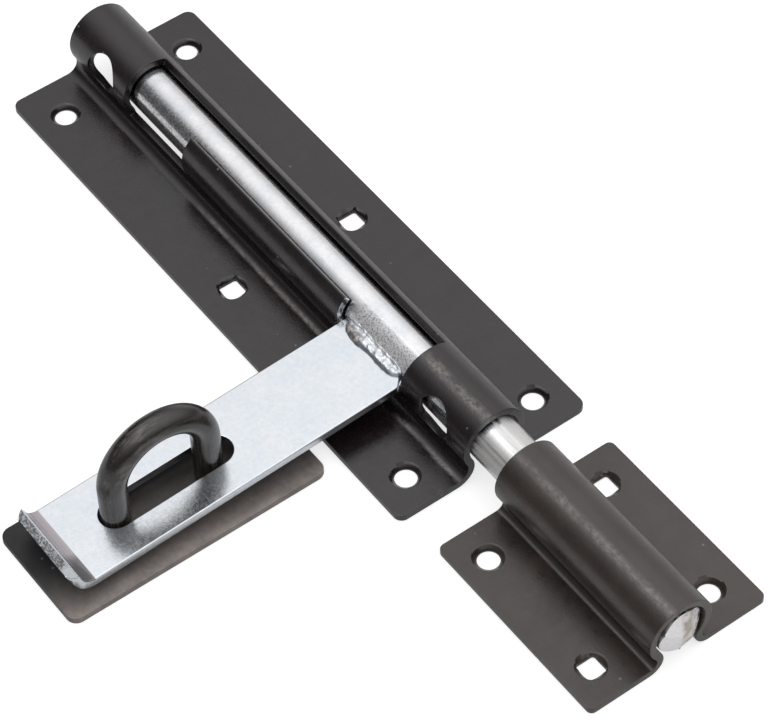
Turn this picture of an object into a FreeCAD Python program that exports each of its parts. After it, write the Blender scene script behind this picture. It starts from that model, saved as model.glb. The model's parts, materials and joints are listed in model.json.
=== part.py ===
"""Surface-mounted padlock bolt, locked: a round bar in a folded plate, a hasp over a staple, and a keep.

Frame: millimetres. +X is the way the bar is thrown, towards the keep. +Y points away from the hasp.
+Z stands off the surface that the plates are screwed to. The origin is on that surface, under the bar,
midway between the four corner screws of the body plate.
"""
import FreeCAD, Part
import math
import os

V = FreeCAD.Vector
X_AXIS = V(1, 0, 0)

# Sheet, bar and tube, shared by the body and the keep
sheet = 2.5
bar_dia = 16.0
bar_clearance = 0.75
axis_height = 13.5

# Body plate
body_length = 210.0
body_flange = 21.3
body_bend = 4.0
body_corner = 3.0
collar_length = 31.5
window_right_angle = 57.5
guide_wall_angle = 128.0
notch_drop_angle = 5.0
collar_hole_dia = 14.4
collar_hole_rise = 0.9
rear_collar_hole_inset = 18.0
front_collar_hole_inset = 15.8

# Round countersunk holes, and square holes with a dished rim
screw_hole_dia = 7.0
screw_sink_dia = 10.2
square_hole = 6.5
square_corner = 0.8
square_rim_dia = 10.0
square_rim_depth = 1.9
body_hole_spacing = 183.6
body_rear_margin = 14.4
body_hole_side_inset = 11.2
middle_hole_side_inset = 12.1
middle_hole_shift = 1.2

# Keep
keep_gap = 14.6
keep_length = 71.1
keep_flange = 21.3
keep_bend = 2.5
keep_corner = 2.0
keep_hole_end_inset = 11.8
keep_hole_side_inset = 10.7
keep_hole_shift = -1.0

# Bar
tail_engagement = 6.5
tail_chamfer = 1.0
tip_protrusion = 1.5

# Hasp
hasp_width = 31.0
hasp_thickness = 3.0
hasp_droop = 2.8
hasp_edge_round = 0.5
hasp_collar_gap = 0.5
hasp_wall_gap = 0.8
rear_notch_spare = 1.0
lip_length = 2.3
lip_angle = 70.0
lip_bend = 4.5
lip_corner = 4.0
root_corner = 3.5
slot_length = 46.0
slot_side_gap = 1.0
slot_end_margin = 11.6

# Welds between the hasp and the bar
weld_gap = 0.02
weld_depth = 1.2
top_bead_width = 5.0
top_bead_height = 1.5
under_bead_width = 2.0
under_bead_height = 2.0

# Staple and its plate
rod_dia = 9.0
staple_pitch = 32.4
staple_rise = 42.0
tenon_dia = 7.0
staple_side_offset = 0.0
staple_slot_offset = 1.5
staple_plate_gap = 5.65
staple_plate_length = 90.0
staple_plate_width = 40.0
staple_plate_corner = 3.5
plate_hole_dia = 5.5
plate_sink_dia = 9.9
plate_hole_end_inset = 13.0

# Places and sizes that follow from the ones above
bar_radius = bar_dia / 2
tube_inner = bar_radius + bar_clearance
tube_outer = tube_inner + sheet
body_rear = -body_hole_spacing / 2 - body_rear_margin
body_front = body_rear + body_length
window_rear = body_rear + collar_length
window_front = body_front - collar_length
hasp_front = window_front - hasp_collar_gap
hasp_middle = hasp_front - hasp_width / 2
wall_front_end = hasp_front - hasp_width - hasp_wall_gap
wall_rear_end = window_rear + hasp_collar_gap + hasp_width + rear_notch_spare
keep_rear = body_front + keep_gap
keep_front = keep_rear + keep_length
bar_tail = window_rear - tail_engagement
bar_tip = keep_front + tip_protrusion
OVER = 200.0


def bend_centre(bend):
    """Centre of the bend between the tube and the right flange."""
    z = sheet + bend
    between = tube_outer + bend
    return V(0, math.sqrt(between ** 2 - (axis_height - z) ** 2), z)


# Half widths of the folded plates, and places beside the body plate
body_half = bend_centre(body_bend).y + body_flange
keep_half = bend_centre(keep_bend).y + keep_flange
staple_x = hasp_middle - staple_side_offset
staple_y = -(body_half + staple_plate_gap + staple_plate_length / 2)
slot_middle = staple_y + staple_slot_offset
slot_width = rod_dia + 2 * slot_side_gap
hasp_reach = slot_length / 2 + slot_end_margin - slot_middle


def polar(centre, radius, degrees):
    """Point in the YZ plane, at an angle from +Y towards +Z."""
    a = math.radians(degrees)
    return V(0, centre.y + radius * math.cos(a), centre.z + radius * math.sin(a))


def line(a, b):
    return Part.LineSegment(a, b).toShape()


def arc(a, middle, b):
    return Part.Arc(a, middle, b).toShape()


def sector(points, x0, x1):
    """Straight-sided outline in the YZ plane, made solid from x0 to x1."""
    face = Part.Face(Part.makePolygon(points + [points[0]]))
    face.translate(V(x0, 0, 0))
    return face.extrude(V(x1 - x0, 0, 0))


def along_x(radius, x0, x1, y, z):
    return Part.makeCylinder(radius, x1 - x0, V(x0, y, z), X_AXIS)


def rounded_plate(x0, x1, y0, y1, z0, z1, radius):
    """Flat block with rounded upright corners."""
    block = Part.makeBox(x1 - x0, y1 - y0, z1 - z0, V(x0, y0, z0))
    upright = [e for e in block.Edges if abs(e.tangentAt(e.FirstParameter).z) > 0.99]
    return block.makeFillet(radius, upright)


def folded_face(half, bend):
    """Section of the folded sheet: flange, bend, tube, bend, flange."""
    tube = V(0, 0, axis_height)
    right = bend_centre(bend)
    left = V(0, -right.y, right.z)
    neck_angle = math.degrees(math.atan2(axis_height - right.z, -right.y))

    def over(tube_radius, bend_radius, level):
        """One surface of the bends and the tube, from the right flange to the left one."""
        start = V(0, right.y, level)
        neck = polar(right, bend_radius, neck_angle)
        middle_angle = (neck_angle + 270) / 2
        far_neck = V(0, -neck.y, neck.z)
        return [arc(start, polar(right, bend_radius, middle_angle), neck),
                arc(neck, polar(tube, tube_radius, 90), far_neck),
                arc(far_neck, polar(left, bend_radius, 180 - middle_angle), V(0, -right.y, level))]

    edges = over(tube_outer, bend, sheet) + over(tube_inner, bend + sheet, 0)
    for side in (-1, 1):
        for level in (0, sheet):
            edges.append(line(V(0, side * right.y, level), V(0, side * half, level)))
        edges.append(line(V(0, side * half, 0), V(0, side * half, sheet)))
    return Part.Face(Part.Wire(Part.__sortEdges__(edges)))


def folded_sheet(x0, length, half, bend, corner):
    face = folded_face(half, bend)
    face.translate(V(x0, 0, 0))
    outline = rounded_plate(x0, x0 + length, -half, half, -OVER, OVER, corner)
    return face.extrude(V(length, 0, 0)).common(outline)


def countersunk_hole(x, y, dia, sink_dia):
    """Drill for a round hole with a 90 degree countersink on the outer face."""
    depth = (sink_dia - dia) / 2
    drill = Part.makeCylinder(dia / 2, 2 * sheet, V(x, y, -sheet))
    cone = Part.makeCone(dia / 2, sink_dia / 2, depth, V(x, y, sheet - depth))
    mouth = Part.makeCylinder(sink_dia / 2, sheet, V(x, y, sheet))
    return drill.fuse([cone, mouth])


def square_bolt_hole(x, y):
    """Punch for a square hole whose round rim is dished at 45 degrees."""
    half = square_hole / 2
    punch = rounded_plate(x - half, x + half, y - half, y + half, -sheet, sheet, square_corner)
    rim = square_rim_dia / 2
    cone = Part.makeCone(rim - square_rim_depth, rim, square_rim_depth, V(x, y, sheet - square_rim_depth))
    mouth = Part.makeCylinder(rim, sheet, V(x, y, sheet))
    return punch.fuse([cone, mouth])


def body_plate():
    solid = folded_sheet(body_rear, body_length, body_half, body_bend, body_corner)
    tube = V(0, 0, axis_height)
    right = bend_centre(body_bend)
    left = V(0, -right.y, right.z)

    # Window over the bar, its long sides cut square to the sheet
    cuts = [sector([tube, polar(tube, OVER, window_right_angle), polar(tube, OVER, guide_wall_angle)],
                   window_rear, window_front)]

    # Two notches that let the hasp down beside the bar, cut to the neck of the left bend
    notch = [tube, polar(tube, OVER, guide_wall_angle), polar(left, OVER, 180 + notch_drop_angle), left,
             polar(left, right.y, notch_drop_angle)]
    cuts.append(sector(notch, window_rear, wall_rear_end))
    cuts.append(sector(notch, wall_front_end, window_front))

    # Round hole through the left wall of each collar
    for x in (body_rear + rear_collar_hole_inset, body_front - front_collar_hole_inset):
        cuts.append(Part.makeCylinder(collar_hole_dia / 2, OVER, V(x, 0, axis_height + collar_hole_rise),
                                      V(0, -1, 0)))

    hole_x = body_hole_spacing / 2
    hole_y = body_half - body_hole_side_inset
    middle_y = body_half - middle_hole_side_inset
    for side in (-1, 1):
        cuts.append(countersunk_hole(-hole_x, side * hole_y, screw_hole_dia, screw_sink_dia))
        cuts.append(countersunk_hole(hole_x, side * hole_y, screw_hole_dia, screw_sink_dia))
        cuts.append(square_bolt_hole(middle_hole_shift, side * middle_y))
    return solid.cut(cuts)


def keep_plate():
    """Folded keep: round holes on one diagonal, square holes on the other."""
    solid = folded_sheet(keep_rear, keep_length, keep_half, keep_bend, keep_corner)
    rear = keep_rear + keep_hole_end_inset
    front = keep_front - keep_hole_end_inset
    right = keep_half - keep_hole_side_inset + keep_hole_shift
    left = right - 2 * (keep_half - keep_hole_side_inset)
    return solid.cut([countersunk_hole(rear, left, screw_hole_dia, screw_sink_dia),
                      countersunk_hole(front, right, screw_hole_dia, screw_sink_dia),
                      square_bolt_hole(rear, right),
                      square_bolt_hole(front, left)])


def tip_facet(turn, tilt, set_back):
    """Block to cut off beyond one flat of the tip; its normal leans from +X by tilt, towards turn."""
    lean = math.radians(tilt)
    way = math.radians(turn)
    normal = V(math.cos(lean), math.sin(lean) * math.cos(way), math.sin(lean) * math.sin(way))
    side = 4 * bar_dia
    block = Part.makeBox(side, side, side, V(-side / 2, -side / 2, 0))
    block.Placement = FreeCAD.Placement(V(bar_tip - set_back, 0, axis_height),
                                        FreeCAD.Rotation(V(0, 0, 1), normal))
    return block


def bolt_bar():
    """Round bar with a chamfered tail and a blunt, unevenly faceted tip."""
    bar = along_x(bar_radius, bar_tail, bar_tip, 0, axis_height)
    tail = [e for e in bar.Edges if abs(e.CenterOfMass.x - bar_tail) < tail_chamfer / 2]
    bar = bar.makeChamfer(tail_chamfer, tail)
    facets = [(216, 15, -0.3), (93, 8, 0.05), (3, 23, -0.35), (306, 10.5, 0.05)]
    return bar.cut([tip_facet(*facet) for facet in facets])


def droop(shape):
    """Turn a shape made level down to the angle at which the hasp hangs."""
    shape.rotate(V(0, 0, axis_height), X_AXIS, hasp_droop)
    return shape


def hasp_blank():
    """Level flat bar from the bolt bar outward, its end bent up into a short lip."""
    top = axis_height + hasp_thickness / 2
    low = axis_height - hasp_thickness / 2
    root = -(bar_radius + weld_gap)
    outer = lip_bend + hasp_thickness
    pivot = V(0, -hasp_reach, top + lip_bend)
    upper_end = polar(pivot, lip_bend, 270 - lip_angle)
    lower_end = polar(pivot, outer, 270 - lip_angle)
    lip = polar(V(0, 0, 0), lip_length, 180 - lip_angle)
    edges = [line(V(0, root, top), V(0, -hasp_reach, top)),
             arc(V(0, -hasp_reach, top), polar(pivot, lip_bend, 270 - lip_angle / 2), upper_end),
             line(upper_end, upper_end + lip),
             line(upper_end + lip, lower_end + lip),
             line(lower_end + lip, lower_end),
             arc(lower_end, polar(pivot, outer, 270 - lip_angle / 2), V(0, -hasp_reach, low)),
             line(V(0, -hasp_reach, low), V(0, root, low)),
             line(V(0, root, low), V(0, root, top))]
    side = Part.Face(Part.Wire(edges))
    side.translate(V(hasp_front - hasp_width, 0, 0))
    blank = side.extrude(V(hasp_width, 0, 0))
    end = (upper_end + lower_end) / 2 + lip
    long_edges = [e for e in blank.Edges
                  if abs(e.tangentAt(e.FirstParameter).x) < 0.01
                  and e.CenterOfMass.y < root - hasp_thickness
                  and abs(e.CenterOfMass.y - end.y) > 0.01]
    return blank.makeFillet(hasp_edge_round, long_edges)


def hasp_plate():
    blank = hasp_blank()
    box = blank.BoundBox
    outline = Part.makeBox(hasp_width, box.YLength, OVER, V(box.XMin, box.YMin, 0))
    upright = [e for e in outline.Edges if abs(e.tangentAt(e.FirstParameter).z) > 0.99]
    outline = outline.makeFillet(lip_corner, [e for e in upright if e.CenterOfMass.y < -hasp_reach])
    clipped = [e for e in outline.Edges
               if abs(e.CenterOfMass.y - box.YMax) < 0.01 and abs(e.CenterOfMass.x - box.XMax) < 0.01]
    outline = outline.makeChamfer(root_corner, clipped)

    radius = slot_width / 2
    end = slot_length / 2 - radius
    slot = [Part.makeBox(slot_width, 2 * end, OVER, V(hasp_middle - radius, slot_middle - end, 0))]
    for side in (-1, 1):
        slot.append(Part.makeCylinder(radius, OVER, V(hasp_middle, slot_middle + side * end, 0)))
    return droop(blank.common(outline).cut(slot))


def bead_section(x, side, width, height):
    """Section of a bead at x, above (1) or under (-1) the level hasp, closed inside the hasp and the bar."""
    face = axis_height + side * hasp_thickness / 2
    deep = face - side * weld_depth
    toe = -(bar_radius + width)
    end = -(bar_radius - weld_depth)
    crest = V(x, -(bar_radius + 0.7 * width), face + side * 0.85 * height)
    points = [V(x, end, face + side * height), V(x, end, deep), V(x, toe, deep), V(x, toe, face)]
    edges = [arc(points[3], crest, points[0])]
    for i in range(3):
        edges.append(line(points[i], points[i + 1]))
    return Part.Wire(edges)


def weld_bead(side, width, height, swells):
    """Uneven bead in the corner between the hasp and the bar; swells scale its width and height along it."""
    x0 = hasp_front - hasp_width
    step = (hasp_width - root_corner) / (len(swells) - 1)
    sections = []
    for i, (wide, high) in enumerate(swells):
        sections.append(bead_section(x0 + i * step, side, width * wide, height * high))
    bead = Part.makeLoft(sections, True, True)
    bar = along_x(bar_radius + weld_gap, -OVER, OVER, 0, axis_height)
    face = axis_height + side * hasp_thickness / 2
    hasp = Part.makeBox(2 * OVER, OVER, OVER, V(-OVER, -OVER, face - OVER if side > 0 else face))
    return droop(bead.cut([bar, hasp]))


def weld_bead_top():
    swells = [(0.65, 1.3), (0.9, 1.55), (1.08, 1.4), (1.08, 1.0), (1.0, 0.9), (1.0, 1.0), (0.5, 0.6)]
    return weld_bead(1, top_bead_width, top_bead_height, swells)


def weld_bead_under():
    swells = [(0.8, 0.8), (1.05, 1.05), (0.95, 0.95), (1.05, 1.05), (0.7, 0.7)]
    return weld_bead(-1, under_bead_width, under_bead_height, swells)


def staple_plate():
    """Flat plate with two holes for the staple's tenons and two screw holes under the hasp."""
    half = staple_plate_length / 2
    plate = rounded_plate(staple_x - staple_plate_width / 2, staple_x + staple_plate_width / 2,
                          staple_y - half, staple_y + half, 0, sheet, staple_plate_corner)
    cuts = []
    for side in (-1, 1):
        cuts.append(Part.makeCylinder(tenon_dia / 2, sheet, V(staple_x, staple_y + side * staple_pitch / 2, 0)))
        cuts.append(countersunk_hole(staple_x, staple_y + side * (half - plate_hole_end_inset),
                                     plate_hole_dia, plate_sink_dia))
    return plate.cut(cuts)


def staple_loop():
    """Round rod bent to an arch, with a tenon at each foot that is riveted in the plate."""
    half = staple_pitch / 2
    centre = V(staple_x, staple_y, staple_rise - rod_dia / 2 - half)
    section = Part.Face(Part.Wire([Part.makeCircle(rod_dia / 2, centre + V(0, half, 0), V(0, 0, 1))]))
    pieces = [section.revolve(centre, X_AXIS, 180)]
    for side in (-1, 1):
        y = staple_y + side * half
        pieces.append(Part.makeCylinder(rod_dia / 2, centre.z - sheet, V(staple_x, y, sheet)))
        pieces.append(Part.makeCylinder(tenon_dia / 2, sheet, V(staple_x, y, 0)))
    return pieces[0].fuse(pieces[1:])


NODES = {
    "body_plate": body_plate,
    "keep_plate": keep_plate,
    "bolt_bar": bolt_bar,
    "hasp_plate": hasp_plate,
    "weld_bead_top": weld_bead_top,
    "weld_bead_under": weld_bead_under,
    "staple_plate": staple_plate,
    "staple_loop": staple_loop,
}

os.makedirs("parts", exist_ok=True)
for name, make in NODES.items():
    shape = make().removeSplitter()
    print(f"{name}: {len(shape.Solids)} solid, valid {shape.isValid()}, volume {shape.Volume:.1f} mm3")
    shape.exportStep(f"parts/{name}.step")
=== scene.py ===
"""Looks for a locked sliding bolt: a plated bar and hasp over satin black folded plates.

Lengths are in metres, in the frame of the bolt: +X is the way the bar is thrown, +Y points away
from the hasp, and +Z stands off the surface that the plates lie on.
"""
import json
import math

import bmesh
import bpy
from mathutils import Matrix, Vector

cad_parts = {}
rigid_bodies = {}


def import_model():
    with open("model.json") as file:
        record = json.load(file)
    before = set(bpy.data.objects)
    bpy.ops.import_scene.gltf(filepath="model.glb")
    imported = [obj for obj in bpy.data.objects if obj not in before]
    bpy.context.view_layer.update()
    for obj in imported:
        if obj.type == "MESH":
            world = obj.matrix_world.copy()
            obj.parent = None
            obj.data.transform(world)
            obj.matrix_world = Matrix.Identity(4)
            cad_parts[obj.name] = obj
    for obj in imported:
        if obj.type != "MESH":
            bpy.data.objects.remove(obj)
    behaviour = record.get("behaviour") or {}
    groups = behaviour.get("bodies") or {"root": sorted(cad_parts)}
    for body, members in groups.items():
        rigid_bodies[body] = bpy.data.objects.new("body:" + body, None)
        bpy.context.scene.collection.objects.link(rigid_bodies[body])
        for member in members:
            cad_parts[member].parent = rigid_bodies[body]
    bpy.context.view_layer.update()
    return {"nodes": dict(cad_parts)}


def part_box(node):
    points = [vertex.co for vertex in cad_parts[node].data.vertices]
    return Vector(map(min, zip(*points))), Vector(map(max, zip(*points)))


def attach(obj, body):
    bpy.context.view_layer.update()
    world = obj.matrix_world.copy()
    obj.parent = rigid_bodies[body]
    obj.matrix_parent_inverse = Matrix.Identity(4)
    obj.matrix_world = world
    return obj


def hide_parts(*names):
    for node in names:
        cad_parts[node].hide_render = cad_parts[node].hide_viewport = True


bl_info = {
    "name": "Sliding bolt looks",
    "version": (1, 0, 0),
    "blender": (4, 5, 0),
    "location": "3D View > Sidebar > Sliding bolt",
    "description": "Models the plated pieces and finishes the steel of a sliding bolt",
    "category": "Object",
}

MM = 0.001
ALONG_X = (0, math.radians(90), 0)

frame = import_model()

BAR_LOW, BAR_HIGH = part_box("bolt_bar")
HASP_LOW, HASP_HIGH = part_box("hasp_plate")
AXIS_Z = (BAR_LOW[2] + BAR_HIGH[2]) / 2
BAR_RADIUS = (BAR_HIGH[2] - BAR_LOW[2]) / 2
AXIS = Vector((0, 0, AXIS_Z))
CREST_Z = AXIS_Z + 11 * MM
FRONT_COLLAR_END = HASP_HIGH[0] + 31 * MM
HASP_MIDDLE = (HASP_LOW[0] + HASP_HIGH[0]) / 2

# The camera stands where the photograph was taken from, in metres and degrees. Its lens and sensor are
# in millimetres, and its shift is in shares of the picture's width.
CAMERA_PLACE = (0.594703, -0.373270, 0.812241)
CAMERA_TURN = (39.0565, 1.4439, 53.4411)
CAMERA_LENS, CAMERA_SENSOR = 161.816, 36
CAMERA_SHIFT = (-0.0208, -0.0055)

LAMP_PLACE = (-0.3, -0.3, 1.4)
LAMP_AIM = (0.03, -0.03, 0)
LAMP_SIDE = 0.6

# Which way each soft light of the sky lies, and how many degrees it spreads about that.
OVERHEAD, OVERHEAD_SPREAD = (0.13, 0.22, 0.97), 80
HASP_SIDE, HASP_SIDE_SPREAD = (0, -0.97, 0.26), 60
REAR_END, REAR_END_SPREAD = (-0.62, 0.78, -0.05), 34

# Flats of the bar's blunt tip: turn about the bar and tilt in degrees, and place past the bar's end.
TIP_FLATS = ((216, 15, 0.3 * MM), (93, 8, -0.05 * MM), (3, 23, 0.35 * MM), (306, 10.5, -0.05 * MM))

# Outline of a weld as shares of its reach along the hasp and its rise up the bar. The first points go
# round outside the steel, from a thin edge on the bar, which passes under the window's rim as the hasp
# turns, down to the toe on the hasp. The last four lie inside the steel.
WELD_RING = ((0.4, 0.78), (0.16, 0.62), (-0.06, 0.5), (-0.5, 0.58), (-0.88, 0.46), (-1.0, 0.24),
             (-1.12, -0.05), (-0.8, -0.4), (0.1, -0.4), (0.6, 0.3))

# Rings along each weld: millimetres from the hasp's rear edge, and shares of the reach and the rise.
TOP_WELD = ((2.2, 0.35, 0.4), (3.2, 0.8, 0.9), (6, 1.1, 0.98), (9.5, 1.2, 1.0), (12.5, 0.95, 0.88),
            (16, 0.87, 0.92), (20, 0.94, 1.0), (24, 0.9, 0.95), (27, 0.75, 0.75), (28.2, 0.4, 0.4))
LOWER_WELD = ((3, 0.4, 0.4), (4, 0.9, 0.9), (10, 1.15, 1.1), (16, 0.95, 1.0), (22, 1.1, 1.05),
              (26.5, 0.9, 0.9), (27.5, 0.4, 0.4))


class BoltSizes(bpy.types.PropertyGroup):
    """Sizes of the modelled pieces."""
    edge_round: bpy.props.FloatProperty(
        name="Sheet edge", description="Rounding of the coated sheet's edges",
        default=0.35 * MM, min=0, subtype="DISTANCE", unit="LENGTH")
    hasp_edge: bpy.props.FloatProperty(
        name="Hasp edge", description="Rounding of the hasp's cut ends and of its slot",
        default=0.25 * MM, min=0, subtype="DISTANCE", unit="LENGTH")
    tip_round: bpy.props.FloatProperty(
        name="Tip edge", description="Rounding between the flats of the bar's tip",
        default=0.2 * MM, min=0, subtype="DISTANCE", unit="LENGTH")
    tail_chamfer: bpy.props.FloatProperty(
        name="Tail chamfer", description="Chamfer round the bar's tail",
        default=1.0 * MM, min=0, subtype="DISTANCE", unit="LENGTH")
    hasp_thickness: bpy.props.FloatProperty(
        name="Hasp thickness", description="Thickness of the hasp, which parts the two welds",
        default=3.0 * MM, min=0, subtype="DISTANCE", unit="LENGTH")
    hasp_droop: bpy.props.FloatProperty(
        name="Hasp droop", description="Angle at which the hasp hangs below level",
        default=math.radians(2.8), subtype="ANGLE", unit="ROTATION")
    weld_reach: bpy.props.FloatProperty(
        name="Weld reach", description="Reach of the top weld's outline along the hasp",
        default=3.0 * MM, min=0, subtype="DISTANCE", unit="LENGTH")
    weld_rise: bpy.props.FloatProperty(
        name="Weld rise", description="Rise of the top weld's outline up the bar",
        default=3.4 * MM, min=0, subtype="DISTANCE", unit="LENGTH")
    under_reach: bpy.props.FloatProperty(
        name="Lower weld", description="Reach and rise of the lower weld's outline",
        default=1.9 * MM, min=0, subtype="DISTANCE", unit="LENGTH")
    weld_ripple: bpy.props.FloatProperty(
        name="Weld ripple", description="Height of the ripples on the welds",
        default=0.7 * MM, min=0, subtype="DISTANCE", unit="LENGTH")


class BoltFinish(bpy.types.PropertyGroup):
    """Colours and gloss of the finishes."""
    coat: bpy.props.FloatVectorProperty(
        name="Black coat", description="Colour of the satin black coat",
        default=(0.0115, 0.0070, 0.0080), size=3, min=0, max=1, subtype="COLOR")
    keep_coat: bpy.props.FloatVectorProperty(
        name="Keep coat", description="Colour of the browner coat on the keep",
        default=(0.035, 0.025, 0.021), size=3, min=0, max=1, subtype="COLOR")
    staple_coat: bpy.props.FloatVectorProperty(
        name="Staple coat", description="Colour of the coat on the staple",
        default=(0.016, 0.012, 0.011), size=3, min=0, max=1, subtype="COLOR")
    plate_coat: bpy.props.FloatVectorProperty(
        name="Staple plate coat", description="Colour of the dull coat on the staple's plate",
        default=(0.013, 0.012, 0.014), size=3, min=0, max=1, subtype="COLOR")
    # Colour of the painted light that pales the staple plate's coat towards its front edge and under its
    # slot.
    painted_light_coat: bpy.props.FloatVectorProperty(
        name="Dusty coat", description="Colour of the staple plate's coat along its faded front edge",
        default=(0.31, 0.27, 0.25), size=3, min=0, max=1, subtype="COLOR")
    # Colour of pale grainy lines that are partly rubbed coat and partly painted highlight, on the plates'
    # crests and bends and on the staple.
    rubbed_and_highlight_coat: bpy.props.FloatVectorProperty(
        name="Rubbed coat", description="Colour of the coat where handling has rubbed it",
        default=(0.20, 0.18, 0.17), size=3, min=0, max=1, subtype="COLOR")
    coat_roughness: bpy.props.FloatProperty(
        name="Coat roughness", description="Roughness of the satin black coat",
        default=0.26, min=0, max=1, subtype="FACTOR")
    coat_ior: bpy.props.FloatProperty(
        name="Coat IOR", description="Index of refraction of the satin black coat",
        default=1.65, min=1, max=3)
    bar_zinc: bpy.props.FloatVectorProperty(
        name="Bar zinc", description="Colour of the plating on the bar",
        default=(0.92, 0.905, 0.925), size=3, min=0, max=1, subtype="COLOR")
    zinc: bpy.props.FloatVectorProperty(
        name="Zinc", description="Colour of the bright plating",
        default=(0.77, 0.79, 0.82), size=3, min=0, max=1, subtype="COLOR")
    blue_zinc: bpy.props.FloatVectorProperty(
        name="Blue zinc", description="Colour of the bluish patches in the plating",
        default=(0.70, 0.75, 0.80), size=3, min=0, max=1, subtype="COLOR")
    # These specks are painted dark reflection along the bar beside the weld; brightened, the same colour
    # tints the weld's burnt lump.
    scorch_and_reflection_zinc: bpy.props.FloatVectorProperty(
        name="Scorched zinc", description="Colour of the specks that the heat of the weld left",
        default=(0.28, 0.255, 0.235), size=3, min=0, max=1, subtype="COLOR")
    # Colour of the painted dark reflection on the weld toe's steep face.
    toe_reflection_zinc: bpy.props.FloatVectorProperty(
        name="Weld toe", description="Colour of the dull edge of the weld on the hasp",
        default=(0.26, 0.28, 0.31), size=3, min=0, max=1, subtype="COLOR")
    smudged_zinc: bpy.props.FloatVectorProperty(
        name="Smudged zinc", description="Colour of the smudge on the bar's tip",
        default=(0.50, 0.45, 0.38), size=3, min=0, max=1, subtype="COLOR")
    slid_zinc: bpy.props.FloatVectorProperty(
        name="Slid zinc", description="Colour of the plating that sliding has dulled",
        default=(0.75, 0.735, 0.72), size=3, min=0, max=1, subtype="COLOR")
    # Colour of the painted dark reflection in the bend of the hasp's lip.
    bend_dark_reflection_zinc: bpy.props.FloatVectorProperty(
        name="Bent zinc", description="Colour of the dulled plating in the bend of the hasp's lip",
        default=(0.41, 0.36, 0.375), size=3, min=0, max=1, subtype="COLOR")
    # The saw cuts are real; the same colour is also painted dark reflection along the bar's rear left
    # side and in the front of the lip's bend, and part of the painted shade on the weld's lump.
    cuts_and_dark_reflection_zinc: bpy.props.FloatVectorProperty(
        name="Worn zinc", description="Colour of the saw cuts and of the spots in the plating",
        default=(0.19, 0.19, 0.195), size=3, min=0, max=1, subtype="COLOR")


class BoltStage(bpy.types.PropertyGroup):
    """Size of the floor and strength of the lights."""
    floor_side: bpy.props.FloatProperty(
        name="Floor side", description="Side of the square floor",
        default=6.0, min=0, subtype="DISTANCE", unit="LENGTH")
    lamp_power: bpy.props.FloatProperty(
        name="Lamp", description="Power of the square lamp overhead",
        default=1.4, min=0, unit="POWER")
    sky: bpy.props.FloatProperty(
        name="Sky", description="Strength of the wide soft light overhead",
        default=1.28, min=0)
    backdrop: bpy.props.FloatProperty(
        name="Backdrop", description="Strength of the low light behind the bolt's rear end",
        default=0.75, min=0)
    dim: bpy.props.FloatProperty(
        name="Dim", description="Strength of the light from everywhere else",
        default=0.08, min=0)


def settings():
    """The sizes, the finishes and the stage that the panel shows."""
    scene = bpy.context.scene
    return scene.bolt_sizes, scene.bolt_finish, scene.bolt_stage


def clear_selection():
    """Leave edit mode and deselect everything."""
    if bpy.context.mode != "OBJECT":
        bpy.ops.object.mode_set(mode="OBJECT")
    bpy.ops.object.select_all(action="DESELECT")


def pick(obj):
    """Make one object the selected and active one."""
    clear_selection()
    obj.select_set(True)
    bpy.context.view_layer.objects.active = obj


def started(name):
    """Name the primitive just added and put its place into its mesh."""
    obj = bpy.context.object
    obj.name = name
    obj.data.name = name
    bpy.ops.object.transform_apply(location=True, rotation=True, scale=True)
    return obj


def select_where(obj, kind, test):
    """In edit mode, select the vertices or faces that pass the test."""
    bpy.ops.mesh.select_mode(type=kind)
    bpy.ops.mesh.select_all(action="DESELECT")
    mesh = bmesh.from_edit_mesh(obj.data)
    parts = {"VERT": mesh.verts, "FACE": mesh.faces}[kind]
    for part in parts:
        if test(part):
            part.select_set(True)
    mesh.select_flush_mode()
    bmesh.update_edit_mesh(obj.data)


def apply_modifier(obj, kind, **values):
    """Add a modifier to an object and apply it."""
    pick(obj)
    modifier = obj.modifiers.new(kind.lower(), kind)
    for key, value in values.items():
        setattr(modifier, key, value)
    bpy.ops.object.modifier_apply(modifier=modifier.name)


def soften(obj, degrees=30):
    """Shade an object smooth, apart from edges sharper than an angle."""
    pick(obj)
    bpy.ops.object.shade_smooth_by_angle(angle=math.radians(degrees))


def finish_with(obj, material):
    """Give an object one material all over."""
    obj.data.materials.clear()
    obj.data.materials.append(material)


def rounded_copy(node, name, radius):
    """Copy of a plate with its square edges rounded; its countersinks stay crisp."""
    square, flat = math.radians(50), math.radians(0.4)
    pick(frame["nodes"][node])
    bpy.ops.object.duplicate()
    obj = bpy.context.object
    obj.name = name
    bpy.ops.object.parent_clear(type="CLEAR_KEEP_TRANSFORM")
    bpy.ops.object.mode_set(mode="EDIT")
    bpy.ops.mesh.select_all(action="SELECT")
    bpy.ops.mesh.remove_doubles(threshold=0.01 * MM)
    bpy.ops.mesh.dissolve_limited(angle_limit=flat)
    bpy.ops.object.mode_set(mode="OBJECT")
    apply_modifier(obj, "BEVEL", limit_method="ANGLE", angle_limit=square, width=radius, segments=2,
                   use_clamp_overlap=False, miter_outer="MITER_ARC")
    soften(obj)
    apply_modifier(obj, "WEIGHTED_NORMAL", weight=100, keep_sharp=True)
    return obj


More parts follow.
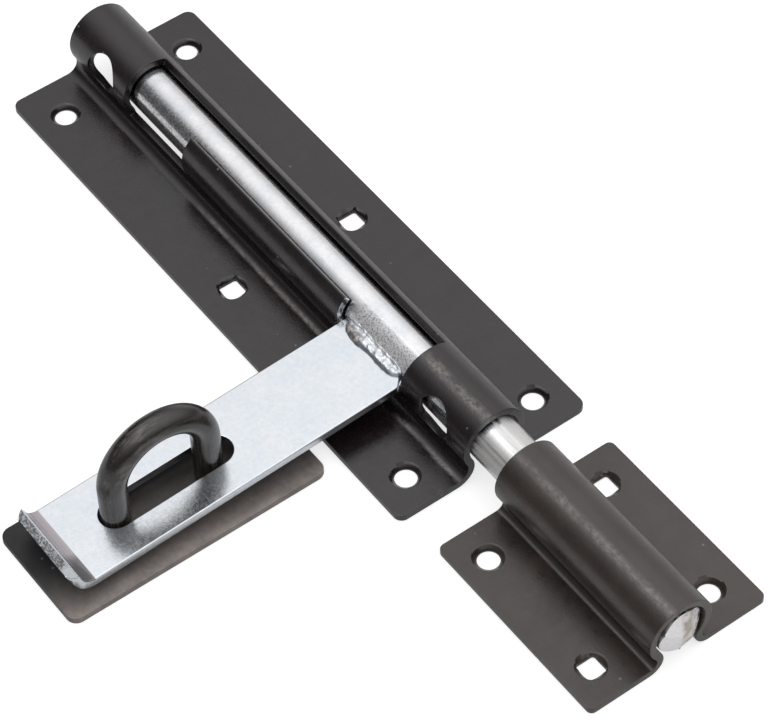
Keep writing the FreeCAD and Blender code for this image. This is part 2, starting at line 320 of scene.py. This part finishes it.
class NodeBoard:
    """Small helper that adds shader nodes and joins them."""

    def __init__(self, name):
        self.material = bpy.data.materials.new(name)
        self.material.use_nodes = True
        self.tree = self.material.node_tree
        self.shader = self.tree.nodes["Principled BSDF"]
        self.place = self.node("ShaderNodeTexCoord").outputs["Object"]
        self.axes = self.node("ShaderNodeSeparateXYZ")
        self.join(self.place, self.axes.inputs[0])

    def node(self, kind, **values):
        node = self.tree.nodes.new(kind)
        for key, value in values.items():
            setattr(node, key, value)
        return node

    def join(self, source, target):
        self.tree.links.new(source, target)

    def finish(self, socket, source):
        """Drive one of the shader's own sockets."""
        self.join(source, self.shader.inputs[socket])

    def noise(self, scale, detail=2.0, roughness=0.5, stretch=(1, 1, 1)):
        """Noise whose scale counts waves per metre along each axis."""
        mapping = self.node("ShaderNodeMapping")
        mapping.inputs["Scale"].default_value = stretch
        self.join(self.place, mapping.inputs["Vector"])
        noise = self.node("ShaderNodeTexNoise")
        noise.inputs["Scale"].default_value = scale
        noise.inputs["Detail"].default_value = detail
        noise.inputs["Roughness"].default_value = roughness
        self.join(mapping.outputs["Vector"], noise.inputs["Vector"])
        return noise.outputs["Fac"]

    def levels(self, source, low, high, out_low, out_high):
        """Map a range of a value to another range."""
        node = self.node("ShaderNodeMapRange")
        node.inputs["From Min"].default_value = low
        node.inputs["From Max"].default_value = high
        node.inputs["To Min"].default_value = out_low
        node.inputs["To Max"].default_value = out_high
        self.join(source, node.inputs["Value"])
        return node.outputs["Result"]

    def mottle(self, scale, low, high, out_low=0, out_high=1, **noise):
        """Noise whose range from low to high is spread over another range."""
        return self.levels(self.noise(scale, **noise), low, high, out_low, out_high)

    def up_to(self, source, most):
        """Value between nothing and one, scaled to reach most."""
        return self.levels(source, 0, 1, 0, most)

    def times(self, *sources):
        """Product of several values."""
        product = sources[0]
        for source in sources[1:]:
            node = self.node("ShaderNodeMath", operation="MULTIPLY")
            self.join(product, node.inputs[0])
            self.join(source, node.inputs[1])
            product = node.outputs["Value"]
        return product

    def larger(self, one, other):
        node = self.node("ShaderNodeMath", operation="MAXIMUM")
        self.join(one, node.inputs[0])
        self.join(other, node.inputs[1])
        return node.outputs["Value"]

    def facing(self, axis, low, high):
        """One where the surface faces along an axis, nothing where it faces less than low."""
        normal = self.node("ShaderNodeSeparateXYZ")
        self.join(self.node("ShaderNodeNewGeometry").outputs["Normal"], normal.inputs[0])
        return self.levels(normal.outputs[axis], low, high, 0, 1)

    def band(self, axis, low, high, soft):
        """One between two places along an axis, fading to nothing over a soft edge."""
        source = self.axes.outputs[axis]
        rise = self.levels(source, low - soft, low, 0, 1)
        fall = self.levels(source, high, high + soft, 1, 0)
        return self.times(rise, fall)

    def specks(self, scale, size):
        """Sparse small round specks, one at most in each cell."""
        cells = self.node("ShaderNodeTexVoronoi")
        cells.inputs["Scale"].default_value = scale
        self.join(self.place, cells.inputs["Vector"])
        return self.levels(cells.outputs["Distance"], size * 0.6, size, 1, 0)

    def mix(self, amount, under, over):
        """Colour over another by an amount; each is a colour or another node's output."""
        node = self.node("ShaderNodeMix", data_type="RGBA")
        self.join(amount, node.inputs[0])
        for socket, colour in ((node.inputs[6], under), (node.inputs[7], over)):
            if isinstance(colour, bpy.types.NodeSocket):
                self.join(colour, socket)
            else:
                socket.default_value = (*colour, 1)
        return node.outputs[2]

    def blend_value(self, amount, under, over):
        """Value over another by an amount; each is a number or another node's output."""
        node = self.node("ShaderNodeMix", data_type="FLOAT")
        self.join(amount, node.inputs[0])
        for socket, value in ((node.inputs[2], under), (node.inputs[3], over)):
            if isinstance(value, bpy.types.NodeSocket):
                self.join(value, socket)
            else:
                socket.default_value = value
        return node.outputs[0]

    def bump(self, source, strength, distance):
        node = self.node("ShaderNodeBump")
        node.inputs["Strength"].default_value = strength
        node.inputs["Distance"].default_value = distance
        self.join(source, node.inputs["Height"])
        self.finish("Normal", node.outputs["Normal"])


def satin_black(name, colour, roughness, clouding=0.25):
    """Satin black coat: faint clouding, a fine grain and a few pale dusty specks."""
    _, finish, _ = settings()
    board = NodeBoard(name)
    board.shader.inputs["IOR"].default_value = finish.coat_ior
    dark = [c * (1 - clouding) for c in colour]
    light = [c * (1 + clouding) for c in colour]
    dust_and_painted_light, spread = (0.16, 0.15, 0.14), 0.08
    coat = board.mix(board.mottle(60, 0.3, 0.7, detail=4, roughness=0.6), dark, light)
    board.coat = board.mix(board.specks(110, 0.05), coat, dust_and_painted_light)
    gloss = board.mottle(220, 0.3, 0.7, roughness - spread, roughness + spread, detail=4, roughness=0.7)
    board.bump(board.noise(1300, detail=3, roughness=0.6), 0.35, 0.1 * MM)
    board.finish("Base Color", board.coat)
    board.finish("Roughness", gloss)
    return board


def rubbed_and_highlight_line(board, start, end, across, height, width, amount):
    """Pale, grainy line along X, about a place across and a height: partly rubbed coat, partly a painted
    highlight on the crest or bend that it follows.
    """
    _, finish, _ = settings()
    grains = board.mottle(900, 0.35, 0.65, detail=4, roughness=0.75, stretch=(0.6, 1, 1))
    drift = board.mottle(90, 0.3, 0.6, 0.3, 1)
    line = board.times(board.band("X", start, end, 3 * MM),
                       board.band("Y", across - width / 4, across + width / 4, width),
                       board.band("Z", height - 2 * MM, height + 2 * MM, 1 * MM), grains, drift)
    board.coat = board.mix(board.up_to(line, amount), board.coat, finish.rubbed_and_highlight_coat)
    board.finish("Base Color", board.coat)


def body_coat():
    """Coat of the body plate: painted highlight, partly rubbed coat, along the front collar's crest and
    along the bends; bare streaks on the guide wall's end.
    """
    _, finish, _ = settings()
    board = satin_black("body coat", finish.coat, finish.coat_roughness)
    bend = {"height": 3 * MM, "width": 0.9 * MM, "amount": 1.2}
    wall_line_from, wall_line_to = -30 * MM, 42 * MM
    wall_bend, collar_bend = -12.6 * MM, -12.9 * MM
    # Painted highlight, partly rubbed coat, along the front collar's crest.
    rubbed_and_highlight_line(board, HASP_HIGH[0] + 1 * MM, FRONT_COLLAR_END,
                across=-2.2 * MM, height=CREST_Z, width=1.7 * MM, amount=1.3)
    # Painted highlight, partly rubbed coat, along the bends beside the guide wall and the front collar.
    rubbed_and_highlight_line(board, wall_line_from, wall_line_to, across=wall_bend, **bend)
    rubbed_and_highlight_line(board, HASP_HIGH[0] + 2 * MM, FRONT_COLLAR_END, across=collar_bend, **bend)
    wall_end = HASP_LOW[0] - 0.8 * MM
    scraped = board.times(board.band("X", wall_end - 0.5 * MM, wall_end + 0.1 * MM, 0.1 * MM),
                          board.band("Z", AXIS_Z, AXIS_Z + 12 * MM, 0.5 * MM),
                          board.facing("X", 0.3, 0.6))
    streaks = board.mottle(700, 0.4, 0.55, stretch=(1, 1, 0.25))
    bare = board.mix(streaks, finish.coat, finish.zinc)
    board.finish("Base Color", board.mix(scraped, board.coat, bare))
    board.finish("Metallic", board.times(scraped, streaks))
    return board.material


def keep_coat():
    """Browner coat of the keep, with a painted highlight, partly rubbed coat, along its crest."""
    _, finish, _ = settings()
    board = satin_black("keep coat", finish.keep_coat, finish.coat_roughness + 0.05, clouding=0.3)
    low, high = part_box("keep_plate")
    # Painted highlight, partly rubbed coat, along the keep's crest.
    rubbed_and_highlight_line(board, low[0], high[0],
                across=-3.4 * MM, height=CREST_Z - 0.5 * MM, width=1.6 * MM, amount=0.9)
    return board.material


def painted_light_coat():
    """Dull coat of the staple's plate, with painted light paling it towards its front edge and under the
    slot.
    """
    _, finish, _ = settings()
    board = satin_black("staple plate coat", finish.plate_coat, roughness=0.5, clouding=0.5)
    dull_ior, slot_light_most = 1.48, 0.28
    board.shader.inputs["IOR"].default_value = dull_ior
    low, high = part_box("staple_plate")
    front_light_start, front_light_end = low[0] + 14 * MM, high[0] - 1 * MM
    middle, half_slot = (low[0] + high[0]) / 2, 7 * MM
    # Painted light: the coat pales towards the front edge, where light from the front falls.
    front_light = board.levels(board.axes.outputs["X"], front_light_start, front_light_end, 0, 1)
    # Painted light under the slot, lifting the shade that falls on the plate there.
    slot_light = board.times(board.band("X", middle - half_slot, middle + half_slot, 2 * MM),
                             board.band("Y", low[1] + 20 * MM, high[1] - 20 * MM, 4 * MM))
    dust_and_painted_light = board.larger(board.times(front_light, front_light), board.up_to(slot_light, slot_light_most))
    light_patches = board.mottle(180, 0.3, 0.7, 0.55, 1, detail=5, roughness=0.7)
    board.finish("Base Color", board.mix(board.times(dust_and_painted_light, light_patches), board.coat, finish.painted_light_coat))
    return board.material


def rod_coat():
    """Glossier coat of the staple, streaked lighter along its legs, partly wear and partly painted sheen,
    with a painted highlight over the near upper bend of its crown.
    """
    _, finish, _ = settings()
    board = satin_black("staple coat", finish.staple_coat, roughness=0.24, clouding=0.5)
    low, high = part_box("staple_loop")
    side, top = low[1], high[2]
    streaks = board.mottle(900, 0.42, 0.62, detail=3, roughness=0.6, stretch=(1, 1, 0.06))
    # Lighter streaks low on the legs: partly wear, partly painted sheen.
    legs = board.levels(board.axes.outputs["Z"], top - 20 * MM, top - 12 * MM, 0.7, 0)
    crown_highlight_grain = board.mottle(800, 0.5, 0.62, detail=4, roughness=0.7, stretch=(1, 0.12, 0.3))
    # Painted highlight over the crown's near upper bend, grained like scratches.
    crown = board.times(board.band("Y", side + 2 * MM, side + 19 * MM, 6 * MM),
                        board.band("Z", top - 14 * MM, top + 2 * MM, 5 * MM))
    wear_and_highlight = board.larger(board.times(legs, streaks), board.times(crown, crown_highlight_grain))
    board.finish("Base Color", board.mix(board.up_to(wear_and_highlight, 0.4), board.coat, finish.rubbed_and_highlight_coat))
    return board.material


def bright_zinc(name, colour, patch_colour, roughness, spread, grain_size):
    """Bright plating: bluish patches, a fine mottle and a grain that frays its reflections."""
    board = NodeBoard(name)
    patches = board.mottle(110, 0.35, 0.65, detail=4, roughness=0.65)
    cloudy = board.mottle(650, 0.3, 0.7, 0, 0.16, detail=3, roughness=0.6)
    dark = [c * 0.55 for c in patch_colour]
    board.zinc = board.mix(cloudy, board.mix(patches, patch_colour, colour), dark)
    board.finish("Base Color", board.zinc)
    board.shader.inputs["Metallic"].default_value = 1.0
    grain = board.noise(1 / grain_size, detail=3, roughness=0.65)
    board.gloss = board.levels(grain, 0.3, 0.7, roughness - spread, roughness + spread)
    board.finish("Roughness", board.gloss)
    board.bump(grain, 0.35, 0.05 * MM)
    return board


def hasp_zinc():
    """Plating of the hasp: a painted dark reflection in the bend of its lip, dark saw cuts on the end of
    its lip and in its slot.
    """
    _, finish, _ = settings()
    board = bright_zinc("plated hasp", finish.zinc, finish.blue_zinc,
                        roughness=0.21, spread=0.06, grain_size=0.8 * MM)
    front, end = HASP_HIGH[0], HASP_LOW[1]
    bend_start, bend_end, bend_metallic = end + 3.2 * MM, end + 7.6 * MM, 0.35
    slot_edge = HASP_MIDDLE - 5.7 * MM
    speckles = board.mottle(1500, 0.47, 0.62, 1, 0.1, detail=3, roughness=0.7)
    lip_end = board.times(board.band("Y", end - 2 * MM, end + 2.4 * MM, 0.1 * MM),
                          board.band("X", HASP_LOW[0] + 1 * MM, front - 7 * MM, 2 * MM), speckles)
    # Painted dark reflection in the bend of the lip, darkest towards its front end.
    in_bend = board.times(board.band("Y", bend_start, bend_end, 0.15 * MM), board.facing("Z", 0.15, 0.3))
    front_bend = board.times(in_bend, board.band("X", front - 9 * MM, front, 3 * MM))
    board.zinc = board.mix(board.up_to(in_bend, 0.85), board.zinc, finish.bend_dark_reflection_zinc)
    board.finish("Metallic", board.levels(in_bend, 0, 1, 1, bend_metallic))
    board.zinc = board.mix(board.up_to(front_bend, 0.95), board.zinc, finish.cuts_and_dark_reflection_zinc)
    cuts = board.mottle(1200, 0.35, 0.6, 1, 0.3, stretch=(1, 0.08, 1.2))
    slot_wall = board.times(board.band("X", slot_edge - 0.5 * MM, slot_edge + 0.5 * MM, 0.1 * MM),
                            board.facing("X", 0.6, 0.8), cuts)
    wear_and_highlight = board.larger(lip_end, slot_wall)
    board.finish("Base Color", board.mix(wear_and_highlight, board.zinc, finish.cuts_and_dark_reflection_zinc))
    board.finish("Roughness", board.blend_value(wear_and_highlight, board.gloss, 0.5))
    return board.material


def bar_zinc():
    """Plating of the bar: painted dark reflection in speckled bands along its left side, beside the top
    weld and behind; dulled in front, smudged tip.
    """
    _, finish, _ = settings()
    board = bright_zinc("plated bar", finish.bar_zinc, finish.zinc,
                        roughness=0.19, spread=0.07, grain_size=0.9 * MM)
    weld_band_start, weld_band_end, weld_band_metallic = HASP_LOW[0] + 5 * MM, HASP_HIGH[0] + 4 * MM, 0.5
    spots_end, slid_start = HASP_LOW[0] - 75 * MM, HASP_HIGH[0] + 30 * MM
    # Painted dark reflection: a speckled band along the bar's left side beside the weld.
    beside_weld = board.times(board.band("X", weld_band_start, weld_band_end, 5 * MM),
                              board.band("Y", -7.5 * MM, -3.6 * MM, 1.2 * MM),
                              board.band("Z", AXIS_Z + 3 * MM, AXIS_Z + 9 * MM, 1 * MM))
    specks = board.mottle(1700, 0.49, 0.6, 0, 0.9, detail=3, roughness=0.7)
    # The same painted dark reflection, spotted, along the bar's left side behind.
    left_side = board.times(board.band("Y", -7.2 * MM, -4.2 * MM, 1.2 * MM),
                            board.band("Z", AXIS_Z + 2.5 * MM, AXIS_Z + 8 * MM, 1 * MM),
                            board.band("X", BAR_LOW[0], spots_end, 25 * MM))
    spots = board.mottle(1300, 0.42, 0.58, 0.05, 0.65, detail=4, roughness=0.75)
    zinc = board.mix(board.times(left_side, spots), board.zinc, finish.cuts_and_dark_reflection_zinc)
    zinc = board.mix(board.times(beside_weld, specks), zinc, finish.scorch_and_reflection_zinc)
    board.finish("Metallic", board.levels(beside_weld, 0, 1, 1, weld_band_metallic))
    slid = board.times(board.band("X", slid_start, BAR_HIGH[0], 2 * MM),
                       board.mottle(700, 0.35, 0.6, 0.1, 1, detail=3, stretch=(0.05, 1, 1)))
    zinc = board.mix(slid, zinc, finish.slid_zinc)
    tip = board.times(board.band("X", BAR_HIGH[0] - 4 * MM, BAR_HIGH[0] + 1 * MM, 0.1 * MM),
                      board.facing("X", 0.85, 0.92))
    smudge = board.times(tip, board.band("Y", 0.5 * MM, 4.5 * MM, 1.5 * MM),
                         board.mottle(350, 0.35, 0.6, 0.25, 1, detail=3, roughness=0.6))
    zinc = board.mix(tip, zinc, finish.bar_zinc)
    zinc = board.mix(smudge, zinc, finish.smudged_zinc)
    board.finish("Base Color", zinc)
    gloss = board.blend_value(slid, board.gloss, 0.6)
    board.finish("Roughness", board.blend_value(beside_weld, gloss, 0.45))
    return board.material


def weld_metal():
    """Bright weld; its narrow bluish grey toe is a painted dark reflection of its steep face, and the
    brown lump at its start is partly burnt and partly painted shade.
    """
    _, finish, _ = settings()
    board = bright_zinc("weld", finish.bar_zinc, finish.blue_zinc,
                        roughness=0.3, spread=0.08, grain_size=1.1 * MM)
    across, side = board.axes.outputs["Y"], -BAR_RADIUS
    lump_start, lump_end = HASP_LOW[0] + 2.5 * MM, HASP_LOW[0] + 10 * MM
    # Painted dark reflection on the toe; the lump is partly burnt, partly painted shade.
    toe = board.levels(across, side - 2.35 * MM, side - 2.6 * MM, 0, 1)
    lump = board.times(board.band("X", lump_start, lump_end, 1.5 * MM),
                       board.levels(across, side - 0.2 * MM, side - 1.1 * MM, 0, 1))
    frayed = board.mottle(600, 0.35, 0.65, 0.75, 1, detail=3, roughness=0.7)
    beige = [c * 1.8 for c in finish.scorch_and_reflection_zinc]
    burnt = board.mix(board.mottle(450, 0.45, 0.6), finish.cuts_and_dark_reflection_zinc, beige)
    dull = board.times(board.larger(toe, lump), frayed)
    grey = board.mix(board.times(toe, frayed), board.zinc, finish.toe_reflection_zinc)
    board.finish("Base Color", board.mix(board.times(lump, frayed), grey, burnt))
    board.finish("Roughness", board.blend_value(dull, board.gloss, 0.45))
    board.shader.inputs["Metallic"].default_value = 0.65
    return board.material


class BOLT_OT_bar(bpy.types.Operator):
    """Model the round plated bar with its blunt, uneven tip"""
    bl_idname = "bolt.bar"
    bl_label = "Plated bar"

    def execute(self, context):
        sizes, _, _ = settings()
        clear_selection()
        # The flats of the tip cut the spare length away.
        spare = 0.5 * MM
        tail, tip = BAR_LOW[0], BAR_HIGH[0] + spare
        bpy.ops.mesh.primitive_cylinder_add(
            vertices=144, radius=BAR_RADIUS, depth=tip - tail,
            location=((tip + tail) / 2, 0, AXIS_Z), rotation=ALONG_X)
        bar = started("plated_bar")
        bpy.ops.object.mode_set(mode="EDIT")
        select_where(bar, "FACE", lambda f: f.normal.x < -0.9)
        bpy.ops.mesh.bevel(offset=sizes.tail_chamfer, segments=1, affect="EDGES")
        for turn, tilt, past_end in TIP_FLATS:
            lean, way = math.radians(tilt), math.radians(turn)
            normal = (math.cos(lean), math.sin(lean) * math.cos(way), math.sin(lean) * math.sin(way))
            bpy.ops.mesh.select_all(action="SELECT")
            bpy.ops.mesh.bisect(plane_co=(BAR_HIGH[0] + past_end, 0, AXIS_Z), plane_no=normal,
                                use_fill=True, clear_outer=True)
        bpy.ops.object.mode_set(mode="OBJECT")
        between_flats = math.radians(8)
        apply_modifier(bar, "BEVEL", limit_method="ANGLE", angle_limit=between_flats,
                       width=sizes.tip_round, segments=2, use_clamp_overlap=True)
        soften(bar)
        apply_modifier(bar, "WEIGHTED_NORMAL", weight=100, keep_sharp=True)
        finish_with(bar, bar_zinc())
        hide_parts("bolt_bar")
        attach(bar, "bar")
        return {"FINISHED"}


class BOLT_OT_hasp(bpy.types.Operator):
    """Round the edges of the slotted hasp and plate it"""
    bl_idname = "bolt.hasp"
    bl_label = "Hasp"

    def execute(self, context):
        sizes, _, _ = settings()
        hasp = rounded_copy("hasp_plate", "slotted_hasp", sizes.hasp_edge)
        finish_with(hasp, hasp_zinc())
        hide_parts("hasp_plate")
        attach(hasp, "hasp")
        return {"FINISHED"}


def weld_run(name, side, reach, rise, rings):
    """Weld in the corner above (1) or under (-1) the hasp, drawn out along X from ring to ring."""
    sizes, _, _ = settings()
    stations = [(HASP_LOW[0] + x * MM, wide, high) for x, wide, high in rings]
    tilt = Matrix.Rotation(sizes.hasp_droop, 3, "X")
    corner = AXIS + tilt @ Vector((0, -BAR_RADIUS, side * sizes.hasp_thickness / 2))
    clear_selection()
    start, first_reach, first_rise = stations[0]
    bpy.ops.mesh.primitive_circle_add(
        vertices=len(WELD_RING), radius=1 * MM, fill_type="NGON",
        location=(start, corner.y, corner.z), rotation=ALONG_X)
    weld = started(name)
    bpy.ops.object.mode_set(mode="EDIT")
    drawn = [v.co.copy() for v in bmesh.from_edit_mesh(weld.data).verts]
    for i, (along, up) in enumerate(WELD_RING):
        target = corner + tilt @ Vector((0, along * reach * first_reach, side * up * rise * first_rise))
        target.x = start
        select_where(weld, "VERT", lambda v: v.index == i)
        bpy.ops.transform.translate(value=target - drawn[i])
    bpy.ops.mesh.select_all(action="SELECT")
    before = stations[0]
    for station in stations[1:]:
        bpy.ops.mesh.extrude_region_move(TRANSFORM_OT_translate={"value": (station[0] - before[0], 0, 0)})
        bpy.ops.transform.resize(value=(1, station[1] / before[1], station[2] / before[2]),
                                 center_override=(station[0], corner.y, corner.z))
        before = station
    bpy.ops.mesh.select_all(action="SELECT")
    bpy.ops.mesh.normals_make_consistent(inside=False)
    bpy.ops.object.mode_set(mode="OBJECT")
    apply_modifier(weld, "SUBSURF", levels=4, render_levels=4)
    ripple = bpy.data.textures.new(name, "CLOUDS")
    ripple.noise_scale = 2.2 * MM
    apply_modifier(weld, "DISPLACE", texture=ripple, strength=sizes.weld_ripple, mid_level=0.5,
                   texture_coords="LOCAL")
    soften(weld, degrees=180)
    return weld


class BOLT_OT_welds(bpy.types.Operator):
    """Model the lumpy welds between hasp and bar"""
    bl_idname = "bolt.welds"
    bl_label = "Welds"

    def execute(self, context):
        sizes, _, _ = settings()
        material = weld_metal()
        top = weld_run("top_weld", 1, sizes.weld_reach, sizes.weld_rise, TOP_WELD)
        under = weld_run("lower_weld", -1, sizes.under_reach, sizes.under_reach, LOWER_WELD)
        for weld, node in ((top, "weld_bead_top"), (under, "weld_bead_under")):
            finish_with(weld, material)
            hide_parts(node)
            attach(weld, "hasp")
        return {"FINISHED"}


class BOLT_OT_plates(bpy.types.Operator):
    """Round the edges of the folded plates and finish all black pieces"""
    bl_idname = "bolt.plates"
    bl_label = "Black plates"

    def execute(self, context):
        sizes, _, _ = settings()
        coats = {"body_plate": body_coat(),
                 "keep_plate": keep_coat(),
                 "staple_plate": painted_light_coat()}
        for node, coat in coats.items():
            plate = rounded_copy(node, node.replace("_plate", "_sheet"), sizes.edge_round)
            finish_with(plate, coat)
            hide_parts(node)
            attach(plate, "case")
        finish_with(frame["nodes"]["staple_loop"], rod_coat())
        return {"FINISHED"}


def studio_sky(stage):
    """Soft light: wide overhead, faint at the hasp's side, low behind the rear end, dim elsewhere."""
    world = bpy.data.worlds.new("studio")
    bpy.context.scene.world = world
    world.use_nodes = True
    tree = world.node_tree
    place = tree.nodes.new("ShaderNodeTexCoord")
    total = tree.nodes.new("ShaderNodeValue").outputs[0]
    total.default_value = stage.dim
    for towards, spread, strength in ((OVERHEAD, OVERHEAD_SPREAD, stage.sky),
                                      (HASP_SIDE, HASP_SIDE_SPREAD, stage.dim),
                                      (REAR_END, REAR_END_SPREAD, stage.backdrop)):
        aim = tree.nodes.new("ShaderNodeVectorMath")
        aim.operation = "DOT_PRODUCT"
        aim.inputs[1].default_value = Vector(towards).normalized()
        tree.links.new(place.outputs["Generated"], aim.inputs[0])
        lobe = tree.nodes.new("ShaderNodeMapRange")
        lobe.interpolation_type = "SMOOTHSTEP"
        lobe.inputs["From Min"].default_value = math.cos(math.radians(spread))
        lobe.inputs["From Max"].default_value = 1
        lobe.inputs["To Max"].default_value = strength
        tree.links.new(aim.outputs["Value"], lobe.inputs["Value"])
        together = tree.nodes.new("ShaderNodeMath")
        together.operation = "ADD"
        tree.links.new(total, together.inputs[0])
        tree.links.new(lobe.outputs["Result"], together.inputs[1])
        total = together.outputs[0]
    camera_ray = tree.nodes.new("ShaderNodeLightPath")
    white = tree.nodes.new("ShaderNodeMix")
    white.data_type = "FLOAT"
    tree.links.new(camera_ray.outputs["Is Camera Ray"], white.inputs["Factor"])
    tree.links.new(total, white.inputs[2])
    white.inputs[3].default_value = 1.0
    tree.links.new(white.outputs[0], tree.nodes["Background"].inputs["Strength"])
    tree.nodes["Background"].inputs["Color"].default_value = (1, 1, 1, 1)


class BOLT_OT_stage(bpy.types.Operator):
    """Set up the floor, the lamp, the sky and the camera"""
    bl_idname = "bolt.stage"
    bl_label = "Stage"

    def execute(self, context):
        _, _, stage = settings()
        clear_selection()
        bpy.ops.mesh.primitive_plane_add(size=stage.floor_side, location=(0, 0, 0))
        floor = bpy.context.object
        floor.name = "floor"
        board = NodeBoard("white floor")
        grey, seen_glow, mirrored_glow = 0.5, 0.7, 0.28
        board.shader.inputs["Base Color"].default_value = (grey, grey, grey, 1)
        board.shader.inputs["Roughness"].default_value = 0.9
        board.shader.inputs["Emission Color"].default_value = (1, 1, 1, 1)
        rays = board.node("ShaderNodeLightPath")
        seen = board.up_to(rays.outputs["Is Camera Ray"], seen_glow)
        mirrored = board.up_to(rays.outputs["Is Glossy Ray"], mirrored_glow)
        glow = board.node("ShaderNodeMath", operation="ADD")
        board.join(seen, glow.inputs[0])
        board.join(mirrored, glow.inputs[1])
        board.finish("Emission Strength", glow.outputs[0])
        finish_with(floor, board.material)

        studio_sky(stage)
        bpy.ops.object.light_add(type="AREA", location=LAMP_PLACE)
        lamp = bpy.context.object
        lamp.name = "lamp"
        lamp.data.shape = "SQUARE"
        lamp.data.size = LAMP_SIDE
        lamp.data.energy = stage.lamp_power
        lamp.rotation_euler = (Vector(LAMP_AIM) - lamp.location).to_track_quat("-Z", "Y").to_euler()

        camera_data = bpy.data.cameras.new("camera")
        camera = bpy.data.objects.new("camera", camera_data)
        context.scene.collection.objects.link(camera)
        camera.location = CAMERA_PLACE
        camera.rotation_euler = [math.radians(a) for a in CAMERA_TURN]
        camera_data.sensor_width = CAMERA_SENSOR
        camera_data.lens = CAMERA_LENS
        camera_data.shift_x, camera_data.shift_y = CAMERA_SHIFT
        camera_data.clip_start = 0.01
        camera_data.clip_end = 50
        context.scene.camera = camera
        context.scene.view_settings.view_transform = "Standard"
        return {"FINISHED"}


class BOLT_PT_panel(bpy.types.Panel):
    """Lists the steps and their settings"""
    bl_label = "Sliding bolt"
    bl_idname = "BOLT_PT_panel"
    bl_space_type = "VIEW_3D"
    bl_region_type = "UI"
    bl_category = "Sliding bolt"

    def draw(self, context):
        for step in STEPS:
            self.layout.operator(step.bl_idname)
        for group in settings():
            box = self.layout.box()
            for key in group.bl_rna.properties.keys():
                if key not in ("rna_type", "name"):
                    box.prop(group, key)


STEPS = (BOLT_OT_stage, BOLT_OT_plates, BOLT_OT_bar, BOLT_OT_hasp, BOLT_OT_welds)
CLASSES = (BoltSizes, BoltFinish, BoltStage, *STEPS, BOLT_PT_panel)


def register():
    for cls in CLASSES:
        bpy.utils.register_class(cls)
    bpy.types.Scene.bolt_sizes = bpy.props.PointerProperty(type=BoltSizes)
    bpy.types.Scene.bolt_finish = bpy.props.PointerProperty(type=BoltFinish)
    bpy.types.Scene.bolt_stage = bpy.props.PointerProperty(type=BoltStage)


def unregister():
    del bpy.types.Scene.bolt_stage
    del bpy.types.Scene.bolt_finish
    del bpy.types.Scene.bolt_sizes
    for cls in reversed(CLASSES):
        bpy.utils.unregister_class(cls)


def main():
    register()
    bpy.ops.bolt.stage()
    bpy.ops.bolt.plates()
    bpy.ops.bolt.bar()
    bpy.ops.bolt.hasp()
    bpy.ops.bolt.welds()


if __name__ == "__main__":
    main()
